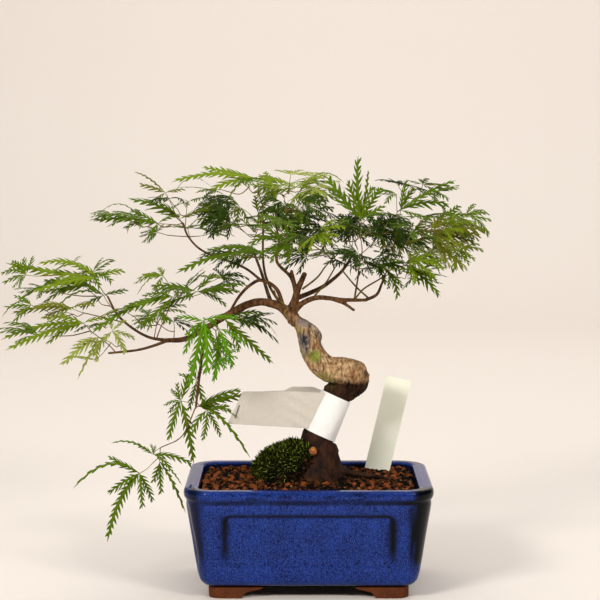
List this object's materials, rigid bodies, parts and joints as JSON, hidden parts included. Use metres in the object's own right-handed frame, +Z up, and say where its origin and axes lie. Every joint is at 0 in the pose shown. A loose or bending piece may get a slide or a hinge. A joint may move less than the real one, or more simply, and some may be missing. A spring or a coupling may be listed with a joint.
{
  "type": "potted cut-leaf japanese maple bonsai",
  "caption": "Small cut-leaf maple bonsai with a kinked trunk leaning over one end of a glazed rectangular pot on bracket feet.",
  "frame": {"origin": "bottom centre of the whole tree and pot's box, on the surface that the feet stand on; the pot's own centre is 54 mm along +X from it", "axes": "+Z up, +X along the pot's long side, away from the side that the foliage leans over, -Y towards the front of the pot"},
  "size_m": [0.3984, 0.202, 0.353],
  "materials": {
    "glaze": "glossy cobalt glaze, darker where it runs thin",
    "unglazed_clay": "matt unglazed red-brown clay",
    "soil": "rough granular bonsai grit",
    "moss": "soft matt moss",
    "bark": "rough bark, tan and grey above, dark at the root",
    "young_bark": "smooth young bark, red-brown to olive",
    "foliage": "satin leaf green in several tints",
    "paper": "plain matt white paper",
    "label_plastic": "pale green matt plastic"
  },
  "bodies": {
    "root": {"arching_bough": "young_bark", "dark_crown_bough": "young_bark", "foliage_back_centre": "foliage", "foliage_back_left": "foliage", "foliage_back_right": "foliage", "foliage_centre_body": "foliage", "foliage_centre_left_dark": "foliage", "foliage_centre_low": "foliage", "foliage_centre_low_left": "foliage", "foliage_front_centre": "foliage", "foliage_hanging_low": "foliage", "foliage_hanging_mid": "foliage", "foliage_hanging_right": "foliage", "foliage_left_centre": "foliage", "foliage_left_crown_flat": "foliage", "foliage_left_droop": "foliage", "foliage_left_far_low": "foliage", "foliage_left_far_lower": "foliage", "foliage_left_far_mid": "foliage", "foliage_left_far_upper": "foliage", "foliage_left_heart": "foliage", "foliage_left_inner_long": "foliage", "foliage_left_inner_right": "foliage", "foliage_right_body": "foliage", "foliage_right_body_low": "foliage", "foliage_right_drop_far": "foliage", "foliage_right_far": "foliage", "foliage_right_low_far": "foliage", "foliage_right_spire": "foliage", "foliage_right_top_arm": "foliage", "foliage_top_arc": "foliage", "foliage_top_centre": "foliage", "foliage_upper_left_body": "foliage", "foliage_upper_left_shoot": "foliage", "foliage_upper_left_tip": "foliage", "foliage_upper_left_under": "foliage", "foot_back_left": "unglazed_clay", "foot_back_right": "unglazed_clay", "foot_front_left": "unglazed_clay", "foot_front_right": "unglazed_clay", "hanging_bough": "young_bark", "leader": "young_bark", "left_bough": "young_bark", "left_high_twig": "young_bark", "left_low_twig": "young_bark", "left_rear_bough": "young_bark", "moss": "moss", "paper_band": "paper", "paper_tail": "paper", "plant_label": "label_plastic", "pot_bowl": "glaze", "pruned_stub": "young_bark", "right_bough": "young_bark", "right_bough_tip": "young_bark", "right_rear_bough": "young_bark", "right_stub": "young_bark", "soil": "soil", "straight_crown_bough": "young_bark", "trunk": "bark", "upper_left_bough": "young_bark"}
  },
  "joints": []
}
